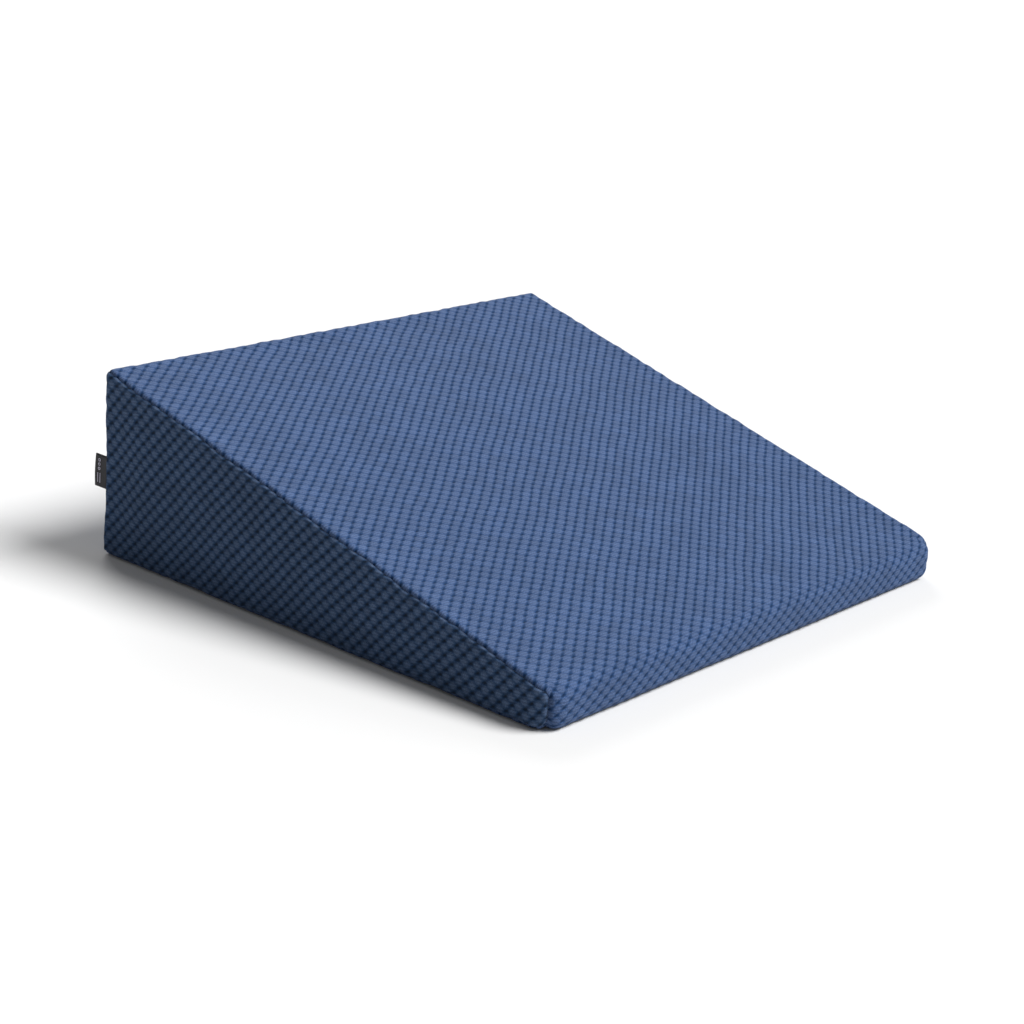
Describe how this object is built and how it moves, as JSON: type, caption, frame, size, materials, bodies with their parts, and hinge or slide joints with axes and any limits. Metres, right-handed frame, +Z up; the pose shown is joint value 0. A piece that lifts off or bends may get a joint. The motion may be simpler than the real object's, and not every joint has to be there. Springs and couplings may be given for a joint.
{
  "type": "foam wedge cushion",
  "caption": "Sloping foam wedge cushion in a removable padded-knit cover, thin rounded nose, thick end closed by a zip with a sliding pull.",
  "frame": {"origin": "on the floor at the middle of the base, where the underside rests", "axes": "+Z up, X across the width, +Y towards the thick end with the zip, -Y towards the thin nose"},
  "size_m": [0.6, 0.532, 0.1682],
  "materials": {
    "base_foam": "matte",
    "comfort_foam": "matte",
    "knit_cover": "padded knit with oval pads",
    "zip_tape": "woven",
    "zip_coil": "satin",
    "zip_metal": "satin",
    "thread": "matte",
    "label": "woven satin"
  },
  "bodies": {
    "cushion": {"foam_base": "base_foam", "comfort_foam_layer": "comfort_foam", "top_panel": "knit_cover", "bottom_panel": "knit_cover", "left_side_panel": "knit_cover", "right_side_panel": "knit_cover", "rear_panel_upper": "knit_cover", "rear_panel_lower": "knit_cover", "zip_tape_upper": "zip_tape", "zip_tape_lower": "zip_tape", "zip_coil_upper": "zip_coil", "zip_coil_lower": "zip_coil", "zip_end_tack_left": "thread", "zip_end_tack_right": "thread", "zip_stitching_upper": "thread", "zip_stitching_lower": "thread", "seam_thread_left": "thread", "seam_thread_right": "thread", "seam_thread_rear_top": "thread", "seam_thread_rear_base": "thread", "seam_thread_nose_base": "thread", "side_label": "label"},
    "slider": {"zip_slider": "zip_metal"},
    "pull_tab": {"zip_pull_tab": "zip_metal"}
  },
  "joints": [
    {"name": "zip_slide", "type": "slide", "parent": "cushion", "child": "slider", "axis": [-1, 0, 0], "range_m": [0, 0.52]},
    {"name": "pull_tab_hinge", "type": "hinge", "parent": "slider", "child": "pull_tab", "pos_m": [0.2675, 0.2618, 0.042], "axis": [0, 0, -1], "range_deg": [0, 178]}
  ]
}
